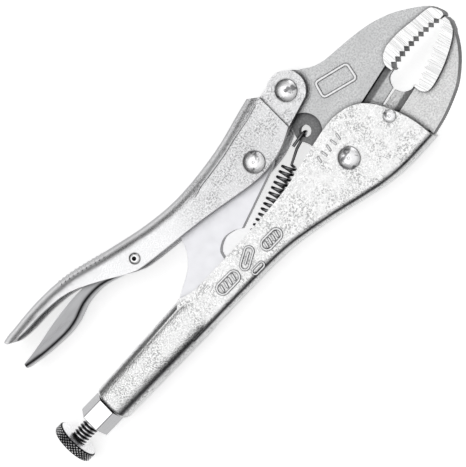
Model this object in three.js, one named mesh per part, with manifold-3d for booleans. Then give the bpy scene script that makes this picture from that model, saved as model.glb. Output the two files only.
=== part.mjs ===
// Locking pliers with curved jaws and a wire cutter, lying on their side.
// Millimetres. X runs along the adjusting screw towards the jaws, Y towards the lever handle and
// Z along the rivets. The main pivot is at X = Y = 0 until the last lines set the tool on the table.
import * as THREE from "three";
import { ConvexGeometry } from "three/addons/geometries/ConvexGeometry.js";
import { mergeVertices } from "three/addons/utils/BufferGeometryUtils.js";
import Module from "manifold-3d";

const wasm = await Module();
wasm.setup();

const at = (x, y) => new THREE.Vector2(x, y);

// Pivots and seats, in the plane of the jaws
const mainPivot = at(0, 0);
const leverPivot = at(0.8, 28.7);
const linkPivot = at(-22, 20.3);
const linkSeat = at(-73.5, 0.4);
const releasePivot = at(-70.8, 26.4);
const springEye = at(-4.5, 16.2);
const springTab = at(-57.5, -1.2);
const jawPin = at(18.1, 0.1);

// Thicknesses
const sheet = 2.2;
const releaseSheet = 1.5;
const jawThickness = 6;
const gripThickness = 9;
const lugThickness = 3.5;
const linkThickness = 3.5;
const tabThickness = 1.6;

// Clearances
const sideGap = 0.3;
const seatGap = 0.3;
const pinGap = 0.25;
const headGap = 0.2;

// Handle walls, as distances from the middle plane
const wallInner = jawThickness / 2 + sideGap;
const wallOuter = wallInner + sheet;
const joggle = 0.75;
const leverInner = wallInner + joggle;
const leverOuter = leverInner + sheet;

// The nut's spigot goes round the screw, and the tube goes round the spigot
const screwRadius = 3;
const nutWall = 0.55;
const nutSpigotRadius = screwRadius + pinGap + nutWall;
const boreRoom = 0.5;

// Fixed handle
const handleBend = 2.6;
const handleFront = 23.2;
const handleRear = -76;
const tubeStart = -70;
const tubeLength = 40.8;
const tubeEnd = tubeStart - tubeLength;
const tubeHalfWidth = nutSpigotRadius + headGap + sheet;
const boreHalfHeight = nutSpigotRadius + headGap + boreRoom;
const tubeHalfHeight = boreHalfHeight + sheet;
const tubeCorner = 4.6;
const mouthRound = 1.3;
const slotLength = 11.5;
const tabRadius = 2.1;
const tabHole = 1.3;

// Lever handle
const leverEyeRadius = 6.3;
const leverBend = 4.6;
const leverInnerStep = 0.9;
const joggleX = -6.6;
const earOverlap = 4;

// Release lever
const releaseGap = 0.35;
const releaseHalf = leverInner - releaseGap;
const releaseBend = 1.8;
const noseStart = -67;

// Rivets and pins
const headDimple = 0.25;
const rivetRadius = 2.5;
const rivetHeadRadius = 3.5;
const rivetHeadHeight = 1.05;
const jawPinRadius = 1.4;
const jawPinHeadRadius = 2;
const releasePinRadius = 1.3;
const releasePinHeadRadius = 1.8;
const releasePinBore = 0.65;
const smallHeadHeight = 0.45;

// Adjusting screw, nut and knob
const threadDepth = 0.45;
const threadPitch = 1.27;
const screwTipGap = 4.2;
const screwShowing = 7.2;
const nutCornerRadius = 5.8;
const nutLength = 8.3;
const nutEnd = tubeEnd - nutLength;
const nutSpigotLength = 7;
const knobRadius = 7.5;
const knobThickness = 3.4;
const knurlCount = 40;
const knurlDepth = 0.35;
const knobSpigotRadius = 2.1;
const knobSpigotLength = 2.2;

// Jaws
const hubRadius = 9;
const jawEyeRadius = 5.6;
const toothPitch = 2.2;
const toothDepth = 1.2;
const toothSag = 0.8;
const cutterMiddle = at(21.4, 5.1);
const cutterSlope = 0.2;
const cutterGap = 0.8;
const cutterEdge = 0.35;
const cutterShoulder = 1.6;
const cutterReach = 6;
const springHole = 1.95;
const lugRadius = 3.5;
const lugStepRadius = 5.7;

// Link and spring
const linkEyeRadius = 4.8;
const linkEndRadius = 2.2;
const wireRadius = 0.5;
const coilRadius = 2;
const coilPitch = 1.85;
const coilTurns = 17;
const coilStart = at(-15.8, 12.4);

const steel = (name, color, roughness) =>
  new THREE.MeshStandardMaterial({ name, color, roughness, metalness: 1 });
const plated = steel("plated_sheet", 0xbfc1c2, 0.38);
const satin = steel("forged_satin", 0x9c9e9f, 0.5);
const bright = steel("bright_steel", 0xd2d4d5, 0.28);
const dark = steel("spring_steel", 0x4a4b4d, 0.42);

// A closed three.js geometry as a solid that can be joined and cut.
function solid(geometry) {
  const bare = geometry.clone();
  bare.deleteAttribute("normal");
  bare.deleteAttribute("uv");
  const merged = mergeVertices(bare, 1e-4);
  return new wasm.Manifold(
    new wasm.Mesh({
      numProp: 3,
      vertProperties: new Float32Array(merged.attributes.position.array),
      triVerts: new Uint32Array(merged.index.array),
    }),
  );
}

// A named mesh from a solid.
function piece(name, shape, material) {
  const data = shape.getMesh();
  const geometry = new THREE.BufferGeometry();
  geometry.setAttribute("position", new THREE.BufferAttribute(data.vertProperties, 3));
  geometry.setIndex(new THREE.BufferAttribute(data.triVerts, 1));
  geometry.computeVertexNormals();
  const mesh = new THREE.Mesh(geometry, material);
  mesh.name = name;
  return mesh;
}

// A flat plate between two heights.
function plate(outline, low, high, curveSegments = 3) {
  const geometry = new THREE.ExtrudeGeometry(outline, {
    depth: high - low,
    bevelEnabled: false,
    curveSegments,
  });
  return solid(geometry.translate(0, 0, low));
}

// A plate centred on the middle plane, with its outer edges rounded.
function softPlate(outline, half, radius) {
  const geometry = new THREE.ExtrudeGeometry(outline, {
    depth: 2 * (half - radius),
    bevelThickness: radius,
    bevelSize: radius,
    bevelOffset: -radius,
    bevelSegments: 6,
    curveSegments: 4,
  });
  return solid(geometry.translate(0, 0, radius - half));
}

// A round bar along Z, centred on the middle plane.
function bar(centre, radius, half, sides = 24) {
  const geometry = new THREE.CylinderGeometry(radius, radius, 2 * half, sides);
  return solid(geometry.rotateX(Math.PI / 2).translate(centre.x, centre.y, 0));
}

// A turned piece on the screw axis: a closed profile of [radius, X] points.
function turnedOnScrew(profile, sides) {
  const points = [...profile, profile[0]].map(([radius, x]) => at(radius, x));
  const geometry = new THREE.LatheGeometry(points, sides).rotateZ(-Math.PI / 2);
  return solid(geometry.translate(0, linkSeat.y, 0));
}

// A section drawn as (Y, Z) about the screw axis and run along X.
function alongScrew(section, from, to) {
  const geometry = new THREE.ExtrudeGeometry(section, {
    depth: to - from,
    bevelEnabled: false,
    curveSegments: 6,
  });
  geometry.translate(0, 0, from).rotateX(Math.PI / 2).rotateZ(Math.PI / 2);
  return solid(geometry.translate(0, linkSeat.y, 0));
}

// A plug on the screw axis between two places, for round holes and spigots.
const plug = (radius, from, to, sides = 24) =>
  turnedOnScrew([[0, from], [radius, from], [radius, to], [0, to]], sides);

// A block given by its low and high corners.
function block(low, high) {
  const size = high.map((value, axis) => value - low[axis]);
  const middle = high.map((value, axis) => (value + low[axis]) / 2);
  return solid(new THREE.BoxGeometry(...size).translate(...middle));
}

// A rectangle with rounded corners, centred on the origin.
function roundedRectangle(width, height, radius) {
  const x = width / 2 - radius;
  const y = height / 2 - radius;
  const shape = new THREE.Shape();
  shape.absarc(x, y, radius, 0, Math.PI / 2);
  shape.absarc(-x, y, radius, Math.PI / 2, Math.PI);
  shape.absarc(-x, -y, radius, Math.PI, 1.5 * Math.PI);
  shape.absarc(x, -y, radius, 1.5 * Math.PI, 2 * Math.PI);
  return shape;
}

// A pin with a head on each side of a stack of plates of the given half width.
function headedPin(centre, half, pin, head, height, bore = 0) {
  const under = half + headGap;
  const top = under + height;
  const crown = Math.max(bore, 0.22 * head);
  const dimple = bore > 0 ? 0 : headDimple;
  const side = [
    at(bore, top - dimple),
    at(crown + 0.1, top),
    at(0.72 * head, top - 0.18 * height),
    at(head, under + 0.3 * height),
    at(head, under),
    at(pin, under),
  ];
  const lower = side.map((point) => at(point.x, -point.y));
  const profile = [...lower, ...side.reverse(), lower[0]];
  const geometry = new THREE.LatheGeometry(profile, 24).rotateX(Math.PI / 2);
  return solid(geometry.translate(centre.x, centre.y, 0));
}

// A line of points moved up or down.
const shifted = (points, dy) => points.map((point) => at(point.x, point.y + dy));

// Outer line of the back of the fixed handle, from the tube to the jaw end.
const handleBack = [
  at(-78, -6),
  at(-52, -5.7),
  at(-34, -6.1),
  at(-18, -8.9),
  at(-6, -11.8),
  at(3, -13.7),
  at(12, -14.4),
  at(handleFront + 4, -13.9),
];

// The wall edge that faces the lever, from the jaw end to the tube.
const handleMouth = [
  at(22.5, -7),
  at(20.6, -0.5),
  at(16.6, 7),
  at(11.5, 11),
  at(4, 12.3),
  at(-6, 10.7),
  at(-20, 7.7),
  at(-36, 6.5),
  at(-60, 6),
  at(-65.8, 6.3),
  at(-70.5, 7.9),
];

// Cross-sections of the tube as [X, bottom, top, half width]: rounded mouth, barrel and neck.
const tubeSections = [
  [tubeEnd, 1.4 - tubeHalfHeight, tubeHalfHeight - 1.2, tubeHalfWidth - 1.1],
  [tubeEnd + 0.3 * mouthRound, 0.8 - tubeHalfHeight, tubeHalfHeight - 0.6, tubeHalfWidth - 0.45],
  [tubeEnd + mouthRound, 0.4 - tubeHalfHeight, tubeHalfHeight - 0.15, tubeHalfWidth],
  [tubeStart - 1, 0.4 - tubeHalfHeight, tubeHalfHeight + 1.2, tubeHalfWidth],
  [tubeStart + 8, -5.5, 5.7, wallOuter - 0.05],
];

// The outside of the tube, swelling towards the channel.
function tubeSkin() {
  const rim = tubeSections.flatMap(([x, bottom, top, half]) =>
    roundedRectangle(top - bottom, 2 * half, tubeCorner)
      .getPoints(4)
      .map((point) => new THREE.Vector3(x, (top + bottom) / 2 + point.x, point.y)),
  );
  return solid(new ConvexGeometry(rim));
}

// Channel folded from one sheet, closed into a tube for the screw, with a tab lanced for the spring.
function fixedHandle() {
  const blank = new THREE.Shape([at(handleBack[0].x, 40), handleBack[0]]);
  blank.splineThru(handleBack.slice(1));
  blank.lineTo(handleFront + 4, 40);
  const sides = new THREE.Shape([
    at(-73, 5.2),
    at(handleRear, 5.2),
    at(handleRear, -40),
    at(handleFront, -40),
    at(handleFront, -13),
  ]);
  sides.splineThru(handleMouth);
  const hollow = new THREE.Shape([at(tubeStart, 40), at(tubeStart, handleBack[0].y + sheet)]);
  hollow.splineThru(shifted(handleBack.slice(1), sheet));
  hollow.lineTo(handleFront + 4, 40);
  const channel = softPlate(blank, wallOuter, handleBend)
    .intersect(plate(sides, -wallOuter, wallOuter))
    .subtract(plate(hollow, -wallInner, wallInner));

  const boreHalfWidth = tubeHalfWidth - sheet;
  const bore = roundedRectangle(2 * boreHalfHeight, 2 * boreHalfWidth, tubeCorner - sheet);
  const slot = linkThickness / 2 + sideGap;
  const opened = channel
    .add(tubeSkin().subtract(plate(hollow, -wallInner, wallInner)))
    .subtract(alongScrew(bore, tubeEnd - 1, tubeStart + 1))
    .subtract(block([tubeStart - slotLength, linkSeat.y, -slot], [tubeStart + 1, 40, slot]));

  const tabOutline = new THREE.Shape([at(springTab.x - tabRadius, -5), at(springTab.x + tabRadius, -5)]);
  tabOutline.absarc(springTab.x, springTab.y, tabRadius, 0, Math.PI);
  const tab = plate(tabOutline, -tabThickness / 2, tabThickness / 2, 6);
  return opened
    .add(tab)
    .subtract(bar(springTab, tabHole, tabThickness, 16))
    .subtract(bar(mainPivot, rivetRadius + pinGap, 20))
    .subtract(bar(jawPin, jawPinRadius + pinGap, 20));
}

// Hex nut held in the mouth of the tube by its round spigot.
function handleNut() {
  const hex = new THREE.CylinderGeometry(nutCornerRadius, nutCornerRadius, nutLength - seatGap, 6);
  hex.rotateZ(-Math.PI / 2).rotateX(Math.PI / 6).translate((nutEnd + tubeEnd - seatGap) / 2, linkSeat.y, 0);
  return solid(hex)
    .add(plug(nutSpigotRadius, nutEnd + 1, tubeEnd + nutSpigotLength))
    .subtract(plug(screwRadius + pinGap, nutEnd - 1, tubeEnd + 2 * nutSpigotLength));
}

const screwTip = linkSeat.x - linkEndRadius - screwTipGap;
const knobFace = nutEnd - screwShowing;

// Threaded rod with a plain spigot for the knob.
function adjustingScrew() {
  const root = screwRadius - threadDepth;
  const shoulder = knobFace + 0.3;
  const profile = [
    [0, knobFace - knobSpigotLength],
    [knobSpigotRadius, knobFace - knobSpigotLength],
    [knobSpigotRadius, shoulder],
    [root, shoulder],
  ];
  for (let x = shoulder + 0.7; x < screwTip - 3; x += threadPitch) {
    profile.push([root, x], [screwRadius, x + 0.35 * threadPitch], [screwRadius, x + 0.65 * threadPitch]);
  }
  profile.push([root, screwTip - 2], [root, screwTip - 0.5], [root - 0.5, screwTip], [0, screwTip]);
  return turnedOnScrew(profile, 16);
}

// Knurled disc fixed on the end of the rod.
function adjustingKnob() {
  const rim = Array.from({ length: 2 * knurlCount }, (_, i) => {
    const radius = knobRadius - (i % 2) * knurlDepth;
    const angle = (Math.PI * i) / knurlCount;
    return at(radius * Math.cos(angle), radius * Math.sin(angle));
  });
  const disc = alongScrew(new THREE.Shape(rim), knobFace - knobThickness, knobFace);
  const floor = knobFace - knobSpigotLength - seatGap;
  return disc.subtract(plug(knobSpigotRadius + pinGap, floor, knobFace + 1));
}

// Height of the cutting edge of a blade. side is 1 for the upper blade and -1 for the lower.
const cutterLine = (x, side) =>
  cutterMiddle.y + cutterSlope * (x - cutterMiddle.x) + (side * cutterGap) / 2;

// What both flanks of one cutter blade are ground off with, from the shoulder to the edge.
function cutterFlanks(side, from, to) {
  const flank = (face) =>
    plate(
      new THREE.Shape([
        at(-1, face * cutterEdge),
        at(cutterReach - 0.9, face * cutterShoulder),
        at(cutterReach, face * jawThickness),
        at(-1, face * jawThickness),
      ]),
      from,
      to,
    );
  const both = flank(1).add(flank(-1));
  const turn = (Math.atan(cutterSlope) * 180) / Math.PI;
  return both
    .rotate([0, 90, 0])
    .rotate([side > 0 ? 90 : -90, 0, 0])
    .rotate([0, 0, turn])
    .translate(cutterMiddle.x, cutterLine(cutterMiddle.x, side), 0);
}

// What the teeth are cut with: a saw edge along a shallow arc from a to b, bulging to its left.
function teeth(a, b) {
  const along = b.clone().sub(a);
  const left = at(-along.y, along.x).normalize();
  const count = Math.round(along.length() / toothPitch);
  const line = (t, extra) =>
    a.clone().addScaledVector(along, t).addScaledVector(left, 4 * toothSag * t * (1 - t) + extra);
  const edge = [];
  for (let i = 0; i < count; i++) {
    edge.push(line(i / count, 0), line((i + 0.5) / count, toothDepth));
  }
  edge.push(b);
  const behind = [line(1, -3), line(0, -3)];
  return plate(new THREE.Shape([...edge, ...behind]), -jawThickness, jawThickness);
}

// Forged jaw that turns on the main pivot, with the lever's eye and the spring's lug behind.
function movableJaw() {
  const body = new THREE.Shape();
  body.absarc(mainPivot.x, mainPivot.y, hubRadius, 0.97 * Math.PI, 2.1 * Math.PI);
  body.lineTo(24.3, cutterLine(24.3, 1));
  body.splineThru([at(24.8, 7.8), at(26, 9.2), at(28, 9.7), at(31, 9.7)]);
  body.lineTo(51.6, 9.9);
  body.splineThru([
    at(52, 11.2),
    at(50.4, 15.2),
    at(45.2, 19.3),
    at(39.7, 22.5),
    at(33, 24.8),
    at(26, 26),
  ]);
  body.lineTo(15.6, 27);
  body.splineThru([at(11.6, 28.3), at(8.2, 30.5), at(5.4, 32)]);
  body.absarc(leverPivot.x, leverPivot.y, jawEyeRadius, 0.25 * Math.PI, 1.05 * Math.PI);
  body.splineThru([at(-5.6, 23), at(-7, 19)]);
  body.absarc(springEye.x, springEye.y, lugRadius, 0.78 * Math.PI, 1.2 * Math.PI);
  body.splineThru([at(-6.4, 11.6), at(-6.8, 7)]);
  const grip = new THREE.Shape([at(28.4, 9.6), at(51.6, 9.9)]);
  grip.splineThru([
    at(52, 11.2),
    at(51, 13.8),
    at(49.2, 14.9),
    at(44, 15.5),
    at(38, 16.2),
    at(32.6, 16),
  ]);
  grip.splineThru([at(29.6, 14.6), at(28.1, 12.2), at(28.4, 9.6)]);
  const lugFace = lugThickness / 2;
  const step = bar(springEye, lugStepRadius, 20, 48)
    .subtract(bar(springEye, lugStepRadius + 1, lugFace));
  const half = gripThickness / 2;
  return plate(body, -jawThickness / 2, jawThickness / 2)
    .subtract(cutterFlanks(1, -9.4, 8))
    .subtract(step)
    .add(plate(grip, -half, half))
    .subtract(teeth(at(29, 10.2), at(49.9, 10)))
    .subtract(bar(springEye, springHole, 20))
    .subtract(bar(mainPivot, rivetRadius + pinGap, 20))
    .subtract(bar(leverPivot, rivetRadius + pinGap, 20));
}

// Forged jaw seated between the walls of the fixed handle.
function fixedJaw() {
  const web = shifted(handleBack.slice(5, 7), sheet + seatGap);
  const step = handleFront + seatGap;
  const body = new THREE.Shape([at(5.4, web[0].y), web[1], at(step, -11.3), at(step, -13)]);
  body.splineThru([
    at(29, -11.7),
    at(34.5, -9.7),
    at(39.5, -7.3),
    at(44.5, -3.3),
    at(48, 0.6),
    at(50.8, 5.1),
  ]);
  body.splineThru([at(51.7, 7.4), at(51.6, 9.3)]);
  body.lineTo(49.5, 9.6);
  body.lineTo(30, 2);
  body.splineThru([
    at(28.4, 1.5),
    at(26.6, 2.2),
    at(25.2, 3.4),
    at(24.3, cutterLine(24.3, -1)),
  ]);
  const hub = hubRadius + seatGap;
  const top = 0.06 * Math.PI;
  body.lineTo(hub * Math.cos(top), cutterLine(hub, -1));
  body.absarc(mainPivot.x, mainPivot.y, hub, top, -Math.PI / 3, true);
  const grip = new THREE.Shape([at(51.6, 9.3), at(49.5, 9.6), at(29.8, 2)]);
  grip.splineThru([
    at(30, -0.8),
    at(31.3, -2.6),
    at(33.3, -3),
    at(37.2, -2.1),
    at(41.5, -0.6),
    at(45.5, 1.3),
  ]);
  grip.splineThru([at(48.7, 3.2), at(50.6, 4.9)]);
  grip.lineTo(51.7, 7.4);
  const half = gripThickness / 2;
  return plate(body, -jawThickness / 2, jawThickness / 2)
    .subtract(cutterFlanks(-1, -9.4, 8))
    .add(plate(grip, -half, half))
    .subtract(teeth(at(50.2, 9.2), at(29.9, 1.4)))
    .subtract(bar(jawPin, jawPinRadius + pinGap, 20));
}

// Outer line of the back of the lever, from its tail to the eye.
const leverBack = [
  at(-126, 37.9),
  at(-115, 39.5),
  at(-103, 40.1),
  at(-91, 39),
  at(-76, 35.2),
  at(-61, 31.8),
  at(-47, 30.5),
  at(-30, 32),
  at(-15, 35.4),
  at(0, 39),
];

// The lever's wall edge that faces the fixed handle, from the eye to the tail.
const leverMouth = [
  at(-12.5, 17.5),
  at(-18.5, 16.2),
  at(-27, 16.1),
  at(-47, 19.7),
  at(-69, 22.6),
  at(-75.3, 24.4),
  at(-84, 29.4),
  at(-94, 34.2),
  at(-104, 35.7),
  at(-113, 35.7),
  at(-118.5, 36.2),
  at(-120.6, 37),
];

// Channel folded from one sheet, necked in at the eye so that its ears fit the jaw.
function leverHandle() {
  const blank = new THREE.Shape([at(-170, 0), at(40, 0), at(40, 49)]);
  blank.splineThru([...leverBack.toReversed(), at(-170, 27)]);
  const sides = new THREE.Shape([at(joggleX, 33.2), at(joggleX, 20.2)]);
  sides.splineThru(leverMouth);
  sides.lineTo(-121.2, 38);
  sides.lineTo(-121.2, 60);
  sides.lineTo(joggleX - earOverlap, 60);
  sides.lineTo(joggleX - earOverlap, 36.4);
  // The inside of the fold, as two slots whose corners keep the sheet's thickness round the bend.
  const cavity = (half, drop) => {
    const hollow = new THREE.Shape([at(-131, 0), at(5, 0), at(5, leverBack.at(-1).y)]);
    hollow.splineThru(shifted(leverBack, -sheet - drop).toReversed());
    return plate(hollow, -half, half);
  };
  const channel = softPlate(blank, leverOuter, leverBend)
    .intersect(plate(sides, -leverOuter, leverOuter))
    .subtract(cavity(leverInner - leverInnerStep, 0))
    .subtract(cavity(leverInner, leverInnerStep));
  const ear = new THREE.Shape();
  ear.absarc(leverPivot.x, leverPivot.y, leverEyeRadius, -0.35 * Math.PI, 0.7 * Math.PI);
  ear.lineTo(joggleX, 33.2);
  ear.lineTo(joggleX - sheet, 33.2);
  ear.lineTo(joggleX - sheet, 19.2);
  ear.lineTo(joggleX, 20.2);
  return channel
    .add(plate(ear, wallInner, wallOuter, 8))
    .add(plate(ear, -wallOuter, -wallInner, 8))
    .subtract(bar(leverPivot, rivetRadius + pinGap, 20))
    .subtract(bar(linkPivot, rivetRadius + pinGap, 20))
    .subtract(bar(releasePivot, releasePinRadius + pinGap, 20));
}

// Flat plate between the lever and the screw, with a hump for the release lever to push.
function toggleLink() {
  const outline = new THREE.Shape();
  outline.absarc(linkPivot.x, linkPivot.y, linkEyeRadius, -0.4 * Math.PI, 0.55 * Math.PI);
  outline.lineTo(-51, 24);
  outline.splineThru([
    at(-55.4, 23.4),
    at(-56.8, 20.6),
    at(-58.4, 16.6),
    at(-62.2, 12.5),
    at(-68, 9.4),
    at(-73, 6.6),
  ]);
  outline.absarc(linkSeat.x, linkSeat.y, linkEndRadius, 0.85 * Math.PI, 1.6 * Math.PI);
  outline.lineTo(-60, 2.6);
  outline.splineThru([
    at(-52.2, 5.4),
    at(-50.4, 9.2),
    at(-46.8, 11.2),
    at(-43, 10.7),
    at(-40.4, 9.2),
  ]);
  const half = linkThickness / 2;
  return plate(outline, -half, half, 4).subtract(bar(linkPivot, rivetRadius + pinGap, 20));
}

// Outer line of the finger pad of the release lever, from its tip to the pin.
const releasePad = [
  at(-122, 27.5),
  at(-114, 26.2),
  at(-105, 25.6),
  at(-99.5, 26.2),
  at(-93, 28.2),
  at(-86, 28.3),
  at(-79.5, 26.4),
  at(-75, 24.8),
];

// Top of the nose of the release lever, which lies under the sheet of the lever's back.
const releaseNose = [
  at(-59.6, 30.4 - sheet),
  at(-66, 31.6 - sheet),
  at(-72, 31.8 - sheet),
];

// Small channel inside the lever, with a nose over the link and a pad for the finger.
function releaseLever() {
  const outline = new THREE.Shape([releasePad[0]]);
  outline.splineThru(releasePad.slice(1));
  outline.lineTo(-71.5, 23.6);
  outline.splineThru([at(-68, 24.2), at(-64, 26.2), at(-60, 26.6)]);
  outline.lineTo(releaseNose[0].x, releaseNose[0].y);
  outline.splineThru([
    ...releaseNose.slice(1),
    at(-84, 31.4),
    at(-92.7, 32.3),
    at(-104, 31.4),
    at(-114.8, 29.6),
    at(-121.4, 28.9),
  ]);
  const blank = new THREE.Shape([at(-130, 60), at(-130, 29), releasePad[0]]);
  blank.splineThru(releasePad.slice(1));
  blank.lineTo(-71.5, 23.6);
  blank.splineThru([at(-68, 24.2), at(-64, 26.2), at(-60, 26.6)]);
  blank.lineTo(-50, 26.6);
  blank.lineTo(-50, 60);
  const hollow = new THREE.Shape([at(-130, 60), ...shifted([at(-130, 28.6), ...releasePad], releaseSheet)]);
  hollow.lineTo(-74, 20);
  hollow.lineTo(noseStart, 20);
  hollow.lineTo(noseStart, 60);
  const inner = releaseHalf - releaseSheet;
  return softPlate(blank, releaseHalf, releaseBend)
    .intersect(plate(outline, -releaseHalf, releaseHalf))
    .subtract(plate(hollow, -inner, inner))
    .subtract(bar(releasePivot, releasePinRadius + pinGap, 20));
}

// The path of the spring's wire: a hook through the lug, the coil and a hook through the tab.
class SpringWire extends THREE.Curve {
  constructor() {
    super();
    const along = springTab.clone().sub(coilStart).normalize();
    const across = at(-along.y, along.x);
    const lugSide = lugThickness / 2 + wireRadius + sideGap;
    const tabSide = tabThickness / 2 + wireRadius + sideGap;
    const points = [
      [springEye.x - 6, springEye.y - 0.8, lugSide],
      [springEye.x - 2.6, springEye.y - 0.3, lugSide],
      [springEye.x - 0.7, springEye.y, 0.6 * lugSide],
      [springEye.x - 0.3, springEye.y, 0],
      [springEye.x - 0.7, springEye.y, -0.6 * lugSide],
      [springEye.x - 2.6, springEye.y - 0.3, -lugSide],
      [springEye.x - 6.6, springEye.y - 1.4, -lugSide],
    ];
    const stepsPerTurn = 10;
    for (let i = 0; i <= coilTurns * stepsPerTurn; i++) {
      const angle = (2 * Math.PI * i) / stepsPerTurn - Math.PI / 2;
      const centre = coilStart.clone().addScaledVector(along, (coilPitch * i) / stepsPerTurn);
      centre.addScaledVector(across, coilRadius * Math.cos(angle));
      points.push([centre.x, centre.y, coilRadius * Math.sin(angle)]);
    }
    points.push(
      [springTab.x + 6, springTab.y + 1.2, -tabSide],
      [springTab.x + 2.2, springTab.y + 0.2, -tabSide],
      [springTab.x + 0.3, springTab.y, -0.5 * tabSide],
      [springTab.x, springTab.y, 0],
      [springTab.x + 0.3, springTab.y, 0.5 * tabSide],
      [springTab.x + 2.2, springTab.y + 0.2, tabSide],
      [springTab.x + 4, springTab.y + 0.5, tabSide],
    );
    this.wire = new THREE.CatmullRomCurve3(points.map((p) => new THREE.Vector3(...p)));
  }

  getPoint(t, target) {
    return this.wire.getPoint(t, target);
  }
}

// Extension spring that pulls the movable jaw open.
function tensionSpring() {
  const path = new SpringWire();
  const section = new THREE.Shape();
  section.absarc(0, 0, wireRadius, 0, 2 * Math.PI);
  const geometry = new THREE.ExtrudeGeometry(section, {
    steps: path.wire.points.length,
    extrudePath: path,
    curveSegments: 3,
  });
  return solid(geometry);
}

// A steel rivet through a pivot, headed outside the walls.
const rivet = (centre, half) => headedPin(centre, half, rivetRadius, rivetHeadRadius, rivetHeadHeight);

const releasePin = () =>
  headedPin(
    releasePivot,
    leverOuter,
    releasePinRadius,
    releasePinHeadRadius,
    smallHeadHeight,
    releasePinBore,
  );

const pliers = new THREE.Group();
pliers.name = "locking_pliers";
pliers.add(
  piece("fixed_handle", fixedHandle(), plated),
  piece("handle_nut", handleNut(), plated),
  piece("adjusting_screw", adjustingScrew(), bright),
  piece("adjusting_knob", adjustingKnob(), plated),
  piece("fixed_jaw", fixedJaw(), bright),
  piece(
    "fixed_jaw_pin",
    headedPin(jawPin, wallOuter, jawPinRadius, jawPinHeadRadius, smallHeadHeight),
    bright,
  ),
  piece("main_pivot_rivet", rivet(mainPivot, wallOuter), bright),
  piece("movable_jaw", movableJaw(), satin),
  piece("lever_handle", leverHandle(), plated),
  piece("lever_pivot_rivet", rivet(leverPivot, wallOuter), bright),
  piece("toggle_link", toggleLink(), satin),
  piece("link_rivet", rivet(linkPivot, leverOuter), bright),
  piece("release_lever", releaseLever(), plated),
  piece("release_lever_pin", releasePin(), bright),
  piece("tension_spring", tensionSpring(), dark),
);

// The origin is under the middle of the tool, on the table.
const bounds = new THREE.Box3().setFromObject(pliers);
const middle = bounds.getCenter(new THREE.Vector3());
pliers.position.set(-middle.x, -middle.y, -bounds.min.z);

export default pliers;
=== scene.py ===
from math import cos, pi, radians, sin

import bmesh
import bpy
from mathutils import Matrix, Vector
from mathutils.bvhtree import BVHTree


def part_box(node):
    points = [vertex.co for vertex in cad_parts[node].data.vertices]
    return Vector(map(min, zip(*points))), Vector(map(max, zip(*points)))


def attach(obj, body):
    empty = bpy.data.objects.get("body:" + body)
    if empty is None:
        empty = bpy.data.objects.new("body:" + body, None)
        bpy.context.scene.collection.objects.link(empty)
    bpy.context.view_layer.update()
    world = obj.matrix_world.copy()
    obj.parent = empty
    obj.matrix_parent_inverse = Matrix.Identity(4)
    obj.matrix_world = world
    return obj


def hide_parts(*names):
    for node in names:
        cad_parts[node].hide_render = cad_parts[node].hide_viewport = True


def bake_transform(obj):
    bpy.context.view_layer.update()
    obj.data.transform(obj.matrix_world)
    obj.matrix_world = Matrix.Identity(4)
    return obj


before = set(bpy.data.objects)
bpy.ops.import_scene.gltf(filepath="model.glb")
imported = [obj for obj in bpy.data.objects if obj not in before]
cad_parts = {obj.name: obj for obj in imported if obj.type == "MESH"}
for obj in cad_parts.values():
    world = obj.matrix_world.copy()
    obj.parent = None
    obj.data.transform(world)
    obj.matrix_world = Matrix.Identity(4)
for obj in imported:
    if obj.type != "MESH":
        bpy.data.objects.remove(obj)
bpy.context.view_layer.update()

# ---------------------------------------------------------------- Fixed handle
# A channel folded from one blank of 2.2 mm sheet and rolled into a tube at its rear.
# Barrel tumbled after pressing, then nickel plated, so its flats keep a pebbled grain.
MM = 0.001
WELD = 0.002 * MM
FOLD_ROUND = 0.35
pivot_low, pivot_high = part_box("main_pivot_rivet")
pivot = (pivot_low + pivot_high) / 2


def spot(x, y, z=0.0):
    """A place on the tool, in millimetres forward, up and sideways of the main pivot."""
    return pivot + Vector((x, y, z)) * MM


class Mark:
    """Something that varies over a metal surface, such as grain, held as a shader value."""

    def __init__(self, finish, socket):
        self.finish = finish
        self.socket = socket

    def reckon(self, operation, first, second):
        return self.finish.node("ShaderNodeMath", {"operation": operation}, {0: first, 1: second})

    def __add__(self, other):
        return self.reckon("ADD", self, other)

    def __radd__(self, other):
        return self.reckon("ADD", other, self)

    def __sub__(self, other):
        return self.reckon("SUBTRACT", self, other)

    def __rsub__(self, other):
        return self.reckon("SUBTRACT", other, self)

    def __mul__(self, other):
        return self.reckon("MULTIPLY", self, other)

    def __rmul__(self, other):
        return self.reckon("MULTIPLY", other, self)


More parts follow.
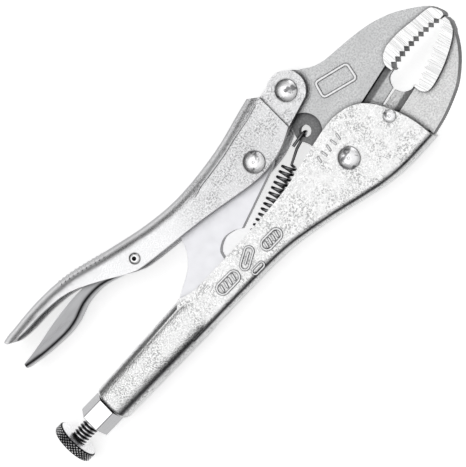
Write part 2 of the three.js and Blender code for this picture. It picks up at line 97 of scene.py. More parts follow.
class Finish:
    """One metal finish: a material whose nodes describe what was done to the surface, and paint some light
    and shade into its colour.
    """

    def __init__(self, name):
        self.material = bpy.data.materials.new(name)
        self.material.use_nodes = True
        self.tree = self.material.node_tree
        self.metal = self.tree.nodes["Principled BSDF"]
        self.metal.inputs["Metallic"].default_value = 1.0
        self.place = self.node("ShaderNodeTexCoord", {}, {}, "Object")

    def connect(self, target, value):
        if isinstance(value, Mark):
            self.tree.links.new(value.socket, target)
        else:
            target.default_value = value

    def node(self, kind, settings, values, output=0):
        made = self.tree.nodes.new(kind)
        for name, value in settings.items():
            setattr(made, name, value)
        for name, value in values.items():
            self.connect(made.inputs[name], value)
        return Mark(self, made.outputs[output])

    def grain(self, size, stretch=(1, 1, 1), detail=2.0, turn=0.0):
        """Random grain with cells of about this many millimetres, drawn out along some axes."""
        turned = self.node(
            "ShaderNodeMapping",
            {"vector_type": "TEXTURE"},
            {"Vector": self.place, "Rotation": (0, 0, turn), "Scale": [MM * size * s for s in stretch]},
        )
        return self.node("ShaderNodeTexNoise", {}, {"Vector": turned, "Scale": 1.0, "Detail": detail})

    def ramp(self, value, low, high):
        """0 below low and 1 above high, turning smoothly between."""
        return self.node(
            "ShaderNodeMapRange",
            {"interpolation_type": "SMOOTHSTEP"},
            {"Value": value, "From Min": low, "From Max": high},
        )

    def along(self, axis):
        """How far a point lies along X, Y or Z from the main pivot, in millimetres."""
        parts = self.node("ShaderNodeSeparateXYZ", {}, {"Vector": self.place}, axis)
        return (parts - pivot["XYZ".index(axis)]) * (1 / MM)

    def facing(self):
        """1 on metal that faces squarely sideways, falling to 0 on its top, bottom and ends."""
        normal = self.node("ShaderNodeTexCoord", {}, {}, "Normal")
        across = self.node("ShaderNodeSeparateXYZ", {}, {"Vector": normal}, "Z")
        return self.node("ShaderNodeMath", {"operation": "ABSOLUTE"}, {0: across})

    def painted_light_side(self):
        """1 on metal that faces the tool's back, 0 on the rest: the side that is given painted light."""
        normal = self.node("ShaderNodeTexCoord", {}, {}, "Normal")
        return self.ramp(self.node("ShaderNodeSeparateXYZ", {}, {"Vector": normal}, "Y"), 0.1, 0.5)

    def painted_round_shade(self, kept, past_low=0.52, past_high=0.78, flat_low=0.8, flat_high=0.97):
        """Painted shade and reflection: 1 on a flat, dark along the round beside it, and partly bright again
        past the round.
        """
        flatness = self.facing()
        past = 1 - self.ramp(flatness, past_low, past_high)
        return self.ramp(flatness, flat_low, flat_high) + past * kept

    def from_axis(self, centre):
        """How far a point lies from a line along X through a centre, in millimetres."""
        away = self.node("ShaderNodeVectorMath", {"operation": "SUBTRACT"}, {0: self.place, 1: centre})
        across = self.node("ShaderNodeVectorMath", {"operation": "MULTIPLY"}, {0: away, 1: (0, 1, 1)})
        return self.node("ShaderNodeVectorMath", {"operation": "LENGTH"}, {0: across}, "Value") * (1 / MM)

    def shade(self, amount, dark, light):
        """A grey between two tones."""
        return self.node(
            "ShaderNodeMix",
            {"data_type": "RGBA"},
            {"Factor": amount, 6: (*dark, 1), 7: (*light, 1)},
            2,
        )

    def painted_corner_shade(self, reach):
        """Painted corner shade from ambient occlusion: 1 on open metal, falling to 0 deep in a corner."""
        return self.node("ShaderNodeAmbientOcclusion", {"samples": 8}, {"Distance": reach * MM}, "AO")

    def surface(self, colour, roughness, relief=None, height=0.0):
        self.connect(self.metal.inputs["Base Color"], colour)
        self.connect(self.metal.inputs["Roughness"], roughness)
        if relief is not None:
            bump = self.node(
                "ShaderNodeBump", {}, {"Strength": 1.0, "Distance": height * MM, "Height": relief}
            )
            self.connect(self.metal.inputs["Normal"], bump)
        return self.material


def pebbled_plate(name, dark, light, depth, round_shade_levels, smooth_from=None, smooth_to=None):
    """Tumbled and plated sheet. Its grain can fade out between two places along the tool."""
    smooth_level = 0.62
    finish = Finish(name)
    pebbles = finish.ramp(finish.grain(0.55, detail=1.5), 0.32, 0.68)
    pits = finish.ramp(finish.grain(0.3, detail=1.0), 0.35, 0.65)
    cloud = finish.ramp(finish.grain(16, detail=3.0), 0.25, 0.75)
    grain = pebbles * 0.7 + pits * 0.3
    if smooth_from is not None:
        grain = smooth_level + (grain - smooth_level) * finish.ramp(finish.along("X"), smooth_from, smooth_to)
    # Painted light and shade: lighter on the side that faces the tool's back, dark along the rounds of the
    # folds with painted reflection past them, and darker in corners.
    fold = 0.08 + 0.4 * finish.painted_light_side() + finish.painted_round_shade(*round_shade_levels)
    open_metal = finish.ramp(finish.painted_corner_shade(3.0), 0.35, 0.95)
    patches = finish.ramp(finish.grain(5, detail=2.0), 0.35, 0.65)
    specks = 1 - (0.15 + 0.45 * patches) * (1 - finish.ramp(grain, 0.1, 0.6))
    colour = finish.shade(open_metal * specks * (0.8 + 0.2 * cloud) * fold, dark, light)
    return finish.surface(colour, 0.2 + 0.1 * cloud + 0.14 * pits, grain, depth)


def broken_edges(node, width, crease=34, segments=2):
    """The solid of a CAD node with its corners broken by a small round."""
    mesh = bmesh.new()
    mesh.from_mesh(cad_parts[node].data)
    bmesh.ops.remove_doubles(mesh, verts=mesh.verts, dist=WELD)
    bmesh.ops.dissolve_limit(
        mesh, angle_limit=radians(0.4), verts=mesh.verts, edges=mesh.edges, use_dissolve_boundaries=False
    )
    bmesh.ops.dissolve_degenerate(mesh, dist=0.03 * MM, edges=mesh.edges)
    corners = [
        edge
        for edge in mesh.edges
        if len(edge.link_faces) == 2 and edge.calc_face_angle() > radians(crease)
    ]
    bmesh.ops.bevel(
        mesh,
        geom=corners,
        offset=width * MM,
        offset_type="OFFSET",
        segments=segments,
        profile=0.5,
        affect="EDGES",
        material=-1,
        clamp_overlap=True,
    )
    return mesh


def finished(name, mesh, material, body, slot, *nodes):
    """Turns a mesh into a piece of the tool that rides on a body and stands for CAD nodes."""
    data = bpy.data.meshes.new(name)
    for face in mesh.faces:
        face.smooth = True
    mesh.to_mesh(data)
    mesh.free()
    data.set_sharp_from_angle(angle=radians(40))
    data.materials.append(material)
    made = bpy.data.objects.new(name, data)
    bpy.context.scene.collection.objects.link(made)
    weighted = made.modifiers.new("Even shading", "WEIGHTED_NORMAL")
    weighted.keep_sharp = True
    if nodes:
        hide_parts(*nodes)
    if body:
        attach(made, body)
    return made


# How bright the handle's colour is painted again past its rounds: painted reflection.
HANDLE_ROUND_SHADE = (0.62,)
handle_plate = pebbled_plate("tumbled_handle_plate", (0.04, 0.04, 0.045), (1, 1, 1), 0.06, HANDLE_ROUND_SHADE)
finished(
    "handle_channel",
    broken_edges("fixed_handle", FOLD_ROUND),
    handle_plate,
    "fixed_handle_body",
    "plated_sheet",
    "fixed_handle",
)

# ---------------------------------------------------------------- Pressed badge on the handle
# Relief raised in the wall by the press: two round-ended frames with ribs, a lozenge
# between them and a boss below. It carries no wording.
HANDLE_WALL = 5.5
RELIEF = 0.4
RIB_LEAN = radians(-14)
LOZENGE_TURN = radians(28)


def raised_rim(mesh, edges, width):
    """Stands a wall of this width on a closed line of edges."""
    wall = bmesh.ops.extrude_edge_only(mesh, edges=edges)["geom"]
    top = [item for item in wall if isinstance(item, bmesh.types.BMVert)]
    sides = [item for item in wall if isinstance(item, bmesh.types.BMFace)]
    bmesh.ops.translate(mesh, verts=top, vec=(0, 0, 2 * RELIEF * MM))
    bmesh.ops.recalc_face_normals(mesh, faces=sides)
    bmesh.ops.solidify(mesh, geom=sides, thickness=width * MM)


def settled(mesh, standing, centre, turn):
    """Lays the newest relief, drawn at the origin, half sunk in the wall."""
    fresh = [vert for vert in mesh.verts if vert not in standing]
    bmesh.ops.rotate(mesh, verts=fresh, cent=(0, 0, 0), matrix=Matrix.Rotation(turn, 3, "Z"))
    bmesh.ops.translate(mesh, verts=fresh, vec=spot(*centre) - Vector((0, 0, RELIEF * MM)))


def round_ended_frame(mesh, centre, length, height, width, turn=0.0):
    """A raised rim round an opening with round ends."""
    standing = set(mesh.verts)
    ring = bmesh.ops.create_circle(mesh, segments=32, radius=height / 2 * MM, cap_ends=False)["verts"]
    reach = (length - height) / 2 * MM
    for vert in ring:
        vert.co.x += reach if vert.co.x > 0 else -reach
    raised_rim(mesh, list({edge for vert in ring for edge in vert.link_edges}), width)
    settled(mesh, standing, centre, turn)


def rib(mesh, centre, length, width, turn=0.0):
    """A short raised bar."""
    standing = set(mesh.verts)
    bar = bmesh.ops.create_cube(mesh, size=1.0)["verts"]
    bmesh.ops.scale(mesh, verts=bar, vec=(length * MM, width * MM, 2 * RELIEF * MM))
    bmesh.ops.translate(mesh, verts=bar, vec=(0, 0, RELIEF * MM))
    settled(mesh, standing, centre, turn)


def softened(mesh, width):
    """Relief as the press leaves it, with every corner rounded."""
    bmesh.ops.recalc_face_normals(mesh, faces=mesh.faces)
    sharp = [edge for edge in mesh.edges if edge.calc_face_angle(0) > radians(50)]
    bmesh.ops.bevel(
        mesh, geom=sharp, offset=width * MM, segments=2, profile=0.5, affect="EDGES", material=-1
    )
    return mesh


pressed = Finish("pressed_badge_plate")
# Painted shade: the relief's flanks, which don't face sideways, are painted dark.
flank_shade_mask = pressed.ramp(pressed.facing(), 0.8, 1.0)
rubbed = pressed.grain(0.5, detail=1.5)
pressed_plate = pressed.surface(
    pressed.shade(flank_shade_mask * (0.75 + 0.4 * rubbed), (0.01, 0.01, 0.012), (0.85, 0.85, 0.86)),
    0.2 + 0.15 * rubbed,
    rubbed,
    0.04,
)
badge = bmesh.new()
round_ended_frame(badge, (-35.3, -0.3, HANDLE_WALL), 8.6, 4.4, 0.75)
round_ended_frame(badge, (-54.8, 0, HANDLE_WALL), 9.6, 4.6, 0.75)
for step in range(4):
    rib(badge, (-37.6 + 1.55 * step, -0.3, HANDLE_WALL), 0.75, 2.4, RIB_LEAN)
    rib(badge, (-57.4 + 1.7 * step, 0, HANDLE_WALL), 0.75, 2.5, RIB_LEAN)
round_ended_frame(badge, (-45.1, 1.1, HANDLE_WALL), 8.2, 3.6, 0.7, LOZENGE_TURN)
rib(badge, (-45.1, 1.1, HANDLE_WALL), 4.2, 0.7, LOZENGE_TURN)
round_ended_frame(badge, (-44.7, -3.6, HANDLE_WALL), 5.4, 2.6, 0.65)
finished("handle_badge", softened(badge, 0.24), pressed_plate, "fixed_handle_body", "plated_sheet")

# A row of leaning strokes is stamped more lightly near the pivot.
stamp = bmesh.new()
STAMP_START = Vector((-6.9, 6.3))
STAMP_STEP = Vector((2.3, 0.2))
STROKES = 5
for step in range(STROKES):
    mark = STAMP_START + STAMP_STEP * step
    rib(stamp, (mark.x, mark.y, HANDLE_WALL - 0.1), 0.65, 2.4, radians(10 if step % 2 else -10))
finished("handle_tally", softened(stamp, 0.22), pressed_plate, "fixed_handle_body", "plated_sheet")

# ---------------------------------------------------------------- Rivets and pins
# Three steel rivets set by a press through the walls, the fixed jaw's pin and the release
# lever's hollow pin. Their low domed heads stay bright, with blotches left by the setting tool.


def turned(profile, centre, axis=(0, 0, 1), steps=48):
    """A turned solid: a profile of (radius, height) points spun round an axis."""
    mesh = bmesh.new()
    up = Vector(axis)
    side = up.orthogonal().normalized()
    points = [mesh.verts.new(centre + (side * radius + up * height) * MM) for radius, height in profile]
    edges = [mesh.edges.new(pair) for pair in zip(points, points[1:])]
    bmesh.ops.spin(
        mesh, geom=points + edges, cent=centre, axis=up, angle=2 * pi, steps=steps, use_merge=True
    )
    bmesh.ops.remove_doubles(mesh, verts=mesh.verts, dist=WELD)
    bmesh.ops.recalc_face_normals(mesh, faces=mesh.faces)
    return mesh


def set_rivet(name, node, body, material, slot, head, height, shank, bore=0.0):
    """A pin with a low domed head on each side, or a hollow one where there is a bore."""
    low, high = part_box(node)
    middle = (low + high) / 2
    top = (high.z - low.z) / 2 / MM
    under = top - height
    dome = []
    dome_steps = 6
    for step in range(dome_steps + 1):
        share = step / dome_steps
        radius = head - (head - max(bore + 0.1, 0.5)) * share
        dome.append((radius, under + 0.3 * height + 0.7 * height * (1 - (1 - share) ** 2)))
    crown = [(bore, top - 0.12)] if bore else [(0.42, top - 0.12), (0.0, top - 0.2)]
    side = [(shank, under), (head, under)] + dome + crown
    mirrored = [(radius, -z) for radius, z in reversed(side)]
    profile = mirrored + side
    if bore:
        profile.append(profile[0])
    finished(name, turned(profile, middle), material, body, slot, node)


set_steel = Finish("set_rivet_steel")
swirl = set_steel.grain(0.5, detail=2.0)
# Painted corner shade: the heads darken where they meet the metal round them.
corner_shade_mask = set_steel.ramp(set_steel.painted_corner_shade(1.6), 0.45, 0.98)
blotch = set_steel.ramp(set_steel.grain(2.2, detail=2.0), 0.36, 0.5)
rivet_metal = set_steel.surface(
    set_steel.shade(corner_shade_mask * (0.25 + 0.75 * blotch), (0.03, 0.03, 0.035), (0.92, 0.92, 0.93)),
    0.1 + 0.16 * swirl,
    swirl,
    0.03,
)
PIVOTS = [
    ("main_rivet", "main_pivot_rivet", "fixed_handle_body"),
    ("lever_rivet", "lever_pivot_rivet", "lever_body"),
    ("toggle_rivet", "link_rivet", "lever_body"),
]
RIVET = {"head": 3.5, "height": 1.05, "shank": 2.5}
JAW_PIN = {"head": 2, "height": 0.45, "shank": 1.4}
HOLLOW_PIN = {"head": 1.8, "height": 0.45, "shank": 1.3, "bore": 0.65}
for name, node, body in PIVOTS:
    set_rivet(name, node, body, rivet_metal, "rivet_steel", **RIVET)
set_rivet("jaw_pin", "fixed_jaw_pin", "fixed_handle_body", rivet_metal, "pin_steel", **JAW_PIN)
set_rivet("release_pin", "release_lever_pin", "lever_body", rivet_metal, "pin_steel", **HOLLOW_PIN)

# ---------------------------------------------------------------- Jaws
# Two steel drop forgings, one turning on the main rivet and one pinned in the handle. Their
# flanks keep the shot-blasted skin. The raised tooth bands are ground, which leaves fine lines.
JAW_FACE = 3.0
JAW_ROUND = 0.3


def forging(name, dark, light, grit, line_turn):
    """Blasted steel, ground where it stands above the jaw's own face, with painted shade beside the shoulder
    step and at the side walls where it is cut away.
    """
    finish = Finish(name)
    blast = finish.ramp(finish.grain(0.55, detail=2.0), 0.3, 0.7)
    cloud = finish.ramp(finish.grain(9, detail=3.0), 0.25, 0.75)
    lines = finish.ramp(finish.grain(0.34, stretch=(1, 40, 40), detail=2.0, turn=line_turn), 0.3, 0.7)
    side = finish.node("ShaderNodeMath", {"operation": "ABSOLUTE"}, {0: finish.along("Z")})
    ground = finish.ramp(side, JAW_FACE + 1.2, JAW_FACE + 1.4)
    # Painted shade: darker in corners and along the rounds, and, where the metal is cut away, a dark strip
    # beside the shoulder step and dark side walls.
    corner_shade_mask = finish.ramp(finish.painted_corner_shade(2.4), 0.3, 0.95)
    sunk = 1 - finish.ramp(side, JAW_FACE - 0.4, JAW_FACE - 0.1)
    shoulder_step_shade = finish.ramp(side, 1.15, 1.3)
    side_wall_shade = 1 - finish.ramp(side, 0.45, 0.62)
    edge = (0.05 + finish.painted_round_shade(0.08)) * (1 - sunk * (0.7 * shoulder_step_shade + 0.92 * side_wall_shade))
    skin = finish.shade(corner_shade_mask * edge * (0.62 + 0.2 * cloud + 0.3 * blast), dark, light)
    band = finish.shade(corner_shade_mask * edge * (0.6 + 0.4 * lines), (0.05, 0.05, 0.055), (1, 1, 1))
    colour = finish.node("ShaderNodeMix", {"data_type": "RGBA"}, {"Factor": ground, 6: skin, 7: band}, 2)
    roughness = (1 - ground) * (0.36 + 0.16 * cloud) + ground * (0.2 + 0.12 * lines)
    relief = (1 - ground) * (blast * grit) + ground * (lines * 0.03)
    return finish.surface(colour, roughness, relief, 1.0)


movable_skin = forging("blasted_movable_jaw", (0.02, 0.02, 0.022), (0.80, 0.805, 0.81), 0.05, radians(4))
fixed_skin = forging("blasted_fixed_jaw", (0.02, 0.02, 0.022), (1, 1, 1), 0.07, radians(16))
finished(
    "upper_jaw",
    broken_edges("movable_jaw", JAW_ROUND),
    movable_skin,
    "movable_jaw_body",
    "forged_satin",
    "movable_jaw",
)
finished(
    "lower_jaw",
    broken_edges("fixed_jaw", JAW_ROUND),
    fixed_skin,
    "fixed_handle_body",
    "forged_bright",
    "fixed_jaw",
)

# A raised round-cornered frame, forged on the flank of the movable jaw.
FRAME_ROUND = 1.5
FRAME_CORNERS = [(8.2, 24.9), (20.4, 21.7), (19.1, 15.2), (6.5, 18.7)]
plaque = bmesh.new()
plaque.faces.new([plaque.verts.new(spot(x, y, JAW_FACE - RELIEF)) for x, y in FRAME_CORNERS])
bmesh.ops.bevel(
    plaque,
    geom=plaque.verts[:],
    offset=FRAME_ROUND * MM,
    segments=4,
    profile=0.5,
    affect="VERTICES",
    material=-1,
)
bmesh.ops.delete(plaque, geom=plaque.faces[:], context="FACES_ONLY")
raised_rim(plaque, plaque.edges[:], 1.0)
finished("jaw_frame", softened(plaque, 0.32), pressed_plate, "movable_jaw_body", "forged_satin")

# ---------------------------------------------------------------- Lever handle
# The second pressed channel, necked at the front so that its ears fit the jaw. Its front is
# pebbled like the fixed handle, and its tail is polished by hands and dies.
# Painted shade over the tail's rounded back: dark at its top, lighter towards the flat wall.
LEVER_ROUND_SHADE = (0.2, 0.2, 0.5, 0.45, 1.0)
lever_plate = pebbled_plate(
    "tumbled_lever_plate", (0.04, 0.04, 0.045), (0.86, 0.86, 0.87), 0.055, LEVER_ROUND_SHADE, -62, -38
)
finished(
    "lever_channel",
    broken_edges("lever_handle", FOLD_ROUND),
    lever_plate,
    "lever_body",
    "plated_sheet",
    "lever_handle",
)


def rod(points, radius, roundness=3):
    """A bar of one thickness, such as wire or a bead, that follows a line of points."""
    line = bpy.data.curves.new("rod", "CURVE")
    line.dimensions = "3D"
    line.bevel_depth = radius * MM
    line.bevel_resolution = roundness
    line.use_fill_caps = True
    spline = line.splines.new("POLY")
    spline.points.add(len(points) - 1)
    for knot, point in zip(spline.points, points):
        knot.co = (*point, 1)
    former = bpy.data.objects.new("rod", line)
    mesh = bmesh.new()
    mesh.from_mesh(bpy.data.meshes.new_from_object(former))
    bpy.data.objects.remove(former)
    bmesh.ops.remove_doubles(mesh, verts=mesh.verts, dist=WELD)
    bmesh.ops.recalc_face_normals(mesh, faces=mesh.faces)
    return mesh


# A bead is pressed along each wall where the fold of the back ends.
LEVER_WALL = 6.25
BEAD_RADIUS = 0.42
BEAD_SUNK = 0.22
BEAD = [
    (-9.2, 32.5),
    (-14.4, 31.1),
    (-21.1, 30.1),
    (-27.6, 28.7),
    (-34.4, 27.8),
    (-39.4, 27.3),
    (-43.3, 26.2),
]
for side, hand in ((1, "near"), (-1, "far")):
    bead = rod([spot(x, y, side * (LEVER_WALL - BEAD_SUNK)) for x, y in BEAD], BEAD_RADIUS)
    finished(f"lever_bead_{hand}", bead, lever_plate, "lever_body", "plated_sheet")

# Short ridges are rolled across the back of the tail for the palm.
RIDGES = 11
RIDGE_FRONT = -79
RIDGE_SPACING = 1.6
RIDGE_RADIUS = 0.26
RIDGE_SHARES = 10
ABOVE_LEVER = 60
folded = bmesh.new()
folded.from_mesh(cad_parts["lever_handle"].data)
lever_skin = BVHTree.FromBMesh(folded)
folded.free()
grip = bmesh.new()
for step in range(RIDGES):
    front = RIDGE_FRONT - RIDGE_SPACING * step
    across = []
    for place in range(-RIDGE_SHARES, RIDGE_SHARES + 1):
        above = spot(front + 0.1 * abs(place), ABOVE_LEVER, 0.53 * place)
        across.append(lever_skin.ray_cast(above, Vector((0, -1, 0)))[0])
    ridge = bpy.data.meshes.new("ridge")
    shaped = rod(across, RIDGE_RADIUS, 2)
    shaped.to_mesh(ridge)
    shaped.free()
    grip.from_mesh(ridge)
finished("palm_ridges", grip, lever_plate, "lever_body", "plated_sheet")

# ---------------------------------------------------------------- Toggle link
# A flat plate of strip steel, hung on its rivet in the lever, that bears on the screw's tip.
# Blanked in a press and tumbled until its faces are pale; painted shade darkens its sheared edges.
LINK_ROUND = 0.38
blanked = Finish("blanked_link_steel")
haze = blanked.grain(3, detail=3.0)
speck = blanked.grain(0.3, detail=1.0)
# Painted shade: darker in corners and along the rounds of the edges, partly bright again past them as painted
# reflection.
link_open = blanked.ramp(blanked.painted_corner_shade(2.0), 0.3, 0.9)
link_metal = blanked.surface(
    blanked.shade(
        link_open * (0.04 + blanked.painted_round_shade(0.3)) * (0.9 + 0.2 * haze),
        (0.02, 0.02, 0.02),
        (0.84, 0.84, 0.87),
    ),
    0.32 + 0.12 * haze,
    speck,
    0.012,
)
finished(
    "link_plate",
    broken_edges("toggle_link", LINK_ROUND),
    link_metal,
    "toggle_link_body",
    "link_steel",
    "toggle_link",
)

# ---------------------------------------------------------------- Release lever
# A small channel folded from 1.5 mm sheet, held between the walls of the lever by its hollow
# pin. Plated like the lever, and rubbed smooth by the finger.
RELEASE_ROUND = 0.16
polished = Finish("polished_release_sheet")
rub = polished.grain(2.5, stretch=(4, 1, 1), detail=3.0)
# Painted shade: darker in corners and along the rounds with painted reflection past them, and a light tone
# kept lower than the lever's plating as painted shade below the lever's walls.
release_open = polished.ramp(polished.painted_corner_shade(2.5), 0.2, 0.9)
release_metal = polished.surface(
    polished.shade(
        release_open * (0.1 + polished.painted_round_shade(0.9)) * (0.5 + 0.6 * rub),
        (0.02, 0.02, 0.022),
        (0.42, 0.42, 0.43),
    ),
    0.22 + 0.14 * rub,
    rub,
    0.02,
)
finished(
    "release_trigger",
    broken_edges("release_lever", RELEASE_ROUND),
    release_metal,
    "release_lever_body",
    "release_sheet",
    "release_lever",
)

# ---------------------------------------------------------------- Handle nut
# A hex nut whose round spigot sits in the mouth of the tube, and which takes the screw.
# Turned and milled from steel bar with chamfered corners, then nickel plated.
NUT_ROUND = 0.55
NUT_ROUND_SHADE = (0.5, 0.52, 0.64, 0.93, 0.995)
bright = Finish("bright_turned_steel")
swept = bright.grain(0.22, stretch=(30, 1, 1), detail=2.0)
# Painted shade: darker in corners, and dark along the chamfers and rounds.
bright_open = bright.ramp(bright.painted_corner_shade(1.5), 0.1, 0.8)
nut_metal = bright.surface(
    bright.shade(
        bright_open * bright.painted_round_shade(*NUT_ROUND_SHADE) * (0.8 + 0.3 * swept),
        (0.03, 0.03, 0.035),
        (0.95, 0.95, 0.96),
    ),
    0.14 + 0.16 * swept,
    swept,
    0.01,
)
finished(
    "tube_nut",
    broken_edges("handle_nut", NUT_ROUND, segments=3),
    nut_metal,
    "fixed_handle_body",
    "plated_nut",
    "handle_nut",
)

# ---------------------------------------------------------------- Adjusting screw
# A steel rod with a rolled right-hand thread of 1.27 mm pitch, run through the nut. Its
# outer end is a plain spigot that the knob is pressed on. Its thread's roots carry painted shade.
ALONG = Vector((1, 0, 0))
PITCH = 1.27
CREST = 3.0
ROOT = 2.5
STEPS_A_TURN = 24
SPIGOT_RADIUS = 2.1
rod_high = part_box("adjusting_screw")[1]
knob_low, knob_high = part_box("adjusting_knob")
knob_middle = (knob_low + knob_high) / 2
axis_line = Vector((0, knob_middle.y, knob_middle.z))
rod_start = axis_line + ALONG * (knob_high.x + 0.3 * MM)
rod_length = (rod_high.x - rod_start.x) / MM
thread = bmesh.new()
flank = [
    (ROOT, 0),
    (ROOT + 0.04, 0.22),
    (CREST, 0.52),
    (CREST, 0.75),
    (ROOT + 0.04, 1.05),
    (ROOT, PITCH),
]
points = [
    thread.verts.new(rod_start + Vector((height - PITCH, radius, 0)) * MM) for radius, height in flank
]
ridge_line = [thread.edges.new(pair) for pair in zip(points, points[1:])]
turns = int(rod_length / PITCH) + 2
bmesh.ops.spin(
    thread,
    geom=points + ridge_line,
    cent=rod_start,
    axis=ALONG,
    dvec=ALONG * PITCH * MM / STEPS_A_TURN,
    angle=2 * pi * turns,
    steps=turns * STEPS_A_TURN,
)
bmesh.ops.remove_doubles(thread, verts=thread.verts, dist=0.005 * MM)
for place, outward in ((rod_start, -ALONG), (rod_start + ALONG * rod_length * MM, ALONG)):
    bmesh.ops.bisect_plane(
        thread,
        geom=thread.verts[:] + thread.edges[:] + thread.faces[:],
        plane_co=place,
        plane_no=outward,
        clear_outer=True,
    )
    rim = [edge for edge in thread.edges if edge.is_boundary and abs(edge.verts[0].co.x - place.x) < 1e-6]
    bmesh.ops.contextual_create(thread, geom=rim)
bmesh.ops.recalc_face_normals(thread, faces=thread.faces)
rolled = Finish("rolled_screw_steel")
oil = rolled.grain(0.8, detail=2.0)
# Painted shade: the colour darkens towards the thread's roots.
out_of_root_shade = rolled.ramp(rolled.from_axis(axis_line), ROOT + 0.1, CREST - 0.1)
screw_metal = rolled.surface(
    rolled.shade(out_of_root_shade * (0.8 + 0.3 * oil), (0.02, 0.02, 0.022), (0.95, 0.95, 0.96)), 0.2 + 0.15 * oil
)
spigot = bpy.data.meshes.new("spigot")
spigot_side = [(0, -2.4), (SPIGOT_RADIUS, -2.4), (SPIGOT_RADIUS, 0.4), (0, 0.4)]
plain = turned(spigot_side, rod_start, ALONG)
plain.to_mesh(spigot)
plain.free()
thread.from_mesh(spigot)
finished("screw_rod", thread, screw_metal, "screw_body", "screw_steel", "adjusting_screw")

# ---------------------------------------------------------------- Adjusting knob
# A steel disc pressed on the rod's spigot and nickel plated. Its rim carries a diamond
# knurl, rolled on so that fingers can turn it, and its faces are turned smooth.
KNURL_DIAMONDS = 36
KNURL_ROWS = 6
KNURL_DEPTH = 0.42
KNURL_WIDTH = 0.88
KNOB_BORE = 2.35
KNOB_BORE_DEPTH = 2.5
knob_radius = (knob_high.z - knob_low.z) / 2 / MM
knob_half = (knob_high.x - knob_low.x) / 2 / MM
valley = knob_radius - KNURL_DEPTH
band = [
    (valley, knob_half * (2 * row / KNURL_ROWS - 1) * KNURL_WIDTH) for row in range(KNURL_ROWS + 1)
]
outside = [(0, -knob_half), (5.4, -knob_half), (5.8, 0.08 - knob_half), (valley - 0.4, 0.08 - knob_half)]
bore_floor = knob_half - KNOB_BORE_DEPTH
inside = [(valley - 0.4, knob_half), (KNOB_BORE, knob_half), (KNOB_BORE, bore_floor), (0, bore_floor)]
knob = turned(outside + band + inside, knob_middle, ALONG, 2 * KNURL_DIAMONDS)
rows = [height for _, height in band]
peaks = set()
for vert in knob.verts:
    away = vert.co - knob_middle
    height = away.x / MM
    ring = Vector((0, away.y, away.z))
    if abs(ring.length / MM - valley) > 0.01 or not rows[0] - 0.01 < height < rows[-1] + 0.01:
        continue
    row = round((height - rows[0]) / (rows[1] - rows[0]))
    column = round(Vector((0, 1)).angle_signed(Vector((ring.y, ring.z))) / (pi / KNURL_DIAMONDS))
    if (row + column) % 2 and 0 < row < KNURL_ROWS:
        vert.co += ring.normalized() * KNURL_DEPTH * MM
        peaks.add(vert)
for face in knob.faces[:]:
    low_corners = [vert for vert in face.verts if vert not in peaks]
    if len(face.verts) == 4 and len(low_corners) == 2:
        bmesh.utils.face_split(face, *low_corners)
    elif len(face.verts) == 4 and len(low_corners) == 3:
        peak = next(vert for vert in face.verts if vert in peaks)
        beside = [vert for vert in low_corners if any(peak in edge.verts for edge in vert.link_edges)]
        bmesh.utils.face_split(face, *beside[:2])
knurled = Finish("knurled_knob_steel")
out = knurled.from_axis(knob_middle)
rim = knurled.ramp(out, valley - 0.3, valley - 0.1)
# Painted shade: the knurl is painted dark down in its valleys.
knurl_valley_shade = (1 - rim) + rim * knurled.ramp(out, valley + 0.1, knob_radius - 0.12)
knob_metal = knurled.surface(
    knurled.shade(knurl_valley_shade * (0.8 + 0.3 * knurled.grain(1.2)), (0.015, 0.015, 0.017), (0.97, 0.97, 0.98)),
    0.2 + 0.15 * knurled.grain(0.6),
)
finished("screw_knob", knob, knob_metal, "knob_body", "knurled_steel", "adjusting_knob")

# ---------------------------------------------------------------- Return spring
# A pull spring wound from oiled music wire that opens the jaws when the lock lets go. It is
# hooked through the movable jaw's lug in front and on a tab inside the handle behind.
WIRE = 0.5
COIL = 2.0
COIL_PITCH = 1.85
COIL_TURNS = 17
LUG_EYE = Vector((-4.5, 16.2, 0))
TAB_EYE = Vector((-57.5, -1.2, 0))
COIL_START = Vector((-15.8, 12.4, 0))
down = (TAB_EYE - COIL_START).normalized()
over = Vector((-down.y, down.x, 0))
LUG_SIDE = 2.55
TAB_SIDE = 1.6
front_hook = [
    (-6, -0.8, LUG_SIDE),
    (-2.6, -0.3, LUG_SIDE),
    (-1.3, -0.1, 2.3),
    (-0.7, 0, 1.55),
    (-0.35, 0, 0.8),
    (-0.3, 0, 0),
    (-0.35, 0, -0.8),
    (-0.7, 0, -1.55),
    (-1.3, -0.1, -2.3),
    (-2.6, -0.3, -LUG_SIDE),
    (-6.6, -1.4, -LUG_SIDE),
]
rear_hook = [
    (6, 1.2, -TAB_SIDE),
    (2.2, 0.2, -TAB_SIDE),
    (0.8, 0.1, -1.2),
    (0.3, 0, -0.8),
    (0, 0, 0),
    (0.3, 0, 0.8),
    (0.8, 0.1, 1.2),
    (2.2, 0.2, TAB_SIDE),
    (4, 0.5, TAB_SIDE),
]
wire_line = [LUG_EYE + Vector(point) for point in front_hook]
for step in range(COIL_TURNS * STEPS_A_TURN + 1):
    angle = 2 * pi * step / STEPS_A_TURN - pi / 2
    centre = COIL_START + down * (COIL_PITCH * step / STEPS_A_TURN)
    wire_line.append(centre + over * COIL * cos(angle) + Vector((0, 0, COIL * sin(angle))))
wire_line += [TAB_EYE + Vector(point) for point in rear_hook]
oiled = Finish("oiled_music_wire")
film = oiled.grain(1.4, detail=2.0)
wire_metal = oiled.surface(
    oiled.shade(film, (0.05, 0.05, 0.055), (0.42, 0.42, 0.43)), 0.16 + 0.2 * film, film, 0.02
)
spring = finished(
    "return_spring",
    rod([spot(*point) for point in wire_line], WIRE, 4),
    wire_metal,
    None,
    "spring_steel",
    "tension_spring",
)
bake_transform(spring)

# ---------------------------------------------------------------- Bench and light
# The tool lies on a pale bench under a broad white canopy, with the room darker round it.
BENCH_SIZE = 1.2
BENCH_GLOW = 0.62
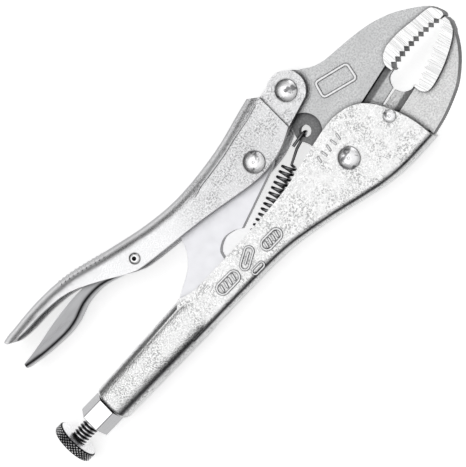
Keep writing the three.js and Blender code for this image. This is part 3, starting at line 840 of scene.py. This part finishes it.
ROOM_TONES = ((0.22, 0.4), (0.42, 0.05), (0.62, 0.14), (0.8, 0.5), (0.9, 0.85))
bench = bmesh.new()
bmesh.ops.create_grid(bench, x_segments=1, y_segments=1, size=BENCH_SIZE)
bench_data = bpy.data.meshes.new("bench")
bench.to_mesh(bench_data)
bench.free()
bench_paint = Finish("bench_paint")
bench_paint.metal.inputs["Metallic"].default_value = 0.0
bench_paint.metal.inputs["Emission Color"].default_value = (1, 1, 1, 1)
bench_paint.metal.inputs["Emission Strength"].default_value = BENCH_GLOW
bench_paint.surface(
    bench_paint.shade(bench_paint.grain(60), (0.88, 0.88, 0.88), (0.92, 0.92, 0.92)), 0.9
)
bench_data.materials.append(bench_paint.material)
bench_object = bpy.data.objects.new("bench", bench_data)
bpy.context.scene.collection.objects.link(bench_object)

room = bpy.data.worlds.new("room")
room.use_nodes = True
bpy.context.scene.world = room
sky = room.node_tree
heading = sky.nodes.new("ShaderNodeTexCoord")
parts = sky.nodes.new("ShaderNodeSeparateXYZ")
tones = sky.nodes.new("ShaderNodeValToRGB")
sky.links.new(heading.outputs["Generated"], parts.inputs[0])
sky.links.new(parts.outputs["Z"], tones.inputs[0])
sky.links.new(tones.outputs[0], sky.nodes["Background"].inputs["Color"])
tones.color_ramp.elements[0].position = 0.0
tones.color_ramp.elements[0].color = (0.6, 0.6, 0.6, 1)
tones.color_ramp.elements[1].position = 0.97
tones.color_ramp.elements[1].color = (1, 1, 1, 1)
for place, level in ROOM_TONES:
    stop = tones.color_ramp.elements.new(place)
    stop.color = (level, level, level, 1)


def lamp(name, place, width, depth, power, target=(0, 0, 0)):
    """A soft white panel that faces the tool."""
    light = bpy.data.lights.new(name, "AREA")
    light.shape = "RECTANGLE"
    light.size = width
    light.size_y = depth
    light.energy = power
    stand = bpy.data.objects.new(name, light)
    stand.location = place
    stand.rotation_euler = (Vector(target) - Vector(place)).to_track_quat("-Z", "Y").to_euler()
    bpy.context.scene.collection.objects.link(stand)


lamp("canopy", (-0.45, 0.3, 1.1), 0.9, 0.9, 1.0)
lamp("window", (0.9, 0.5, 0.7), 0.5, 0.9, 1.2)

# The camera looks down on the bench from over the jaws.
AIM = Vector((-0.00517, -0.00246, 0.0075))
LOOK_BACK = Vector((0.21543, -0.13284, 0.96744))
LOOK_UP = Vector((0.70243, 0.70930, -0.05903))
SENSOR = 36
FOCAL_LENGTH = 246.7
lens = bpy.data.cameras.new("camera")
lens.sensor_width = SENSOR
lens.lens = FOCAL_LENGTH
camera = bpy.data.objects.new("camera", lens)
look_right = LOOK_UP.cross(LOOK_BACK).normalized()
turn = Matrix((look_right, LOOK_UP, LOOK_BACK)).transposed()
camera.matrix_world = Matrix.Translation(AIM + LOOK_BACK) @ turn.to_4x4()
bpy.context.scene.collection.objects.link(camera)
bpy.context.scene.camera = camera
bpy.context.scene.view_settings.view_transform = "Standard"
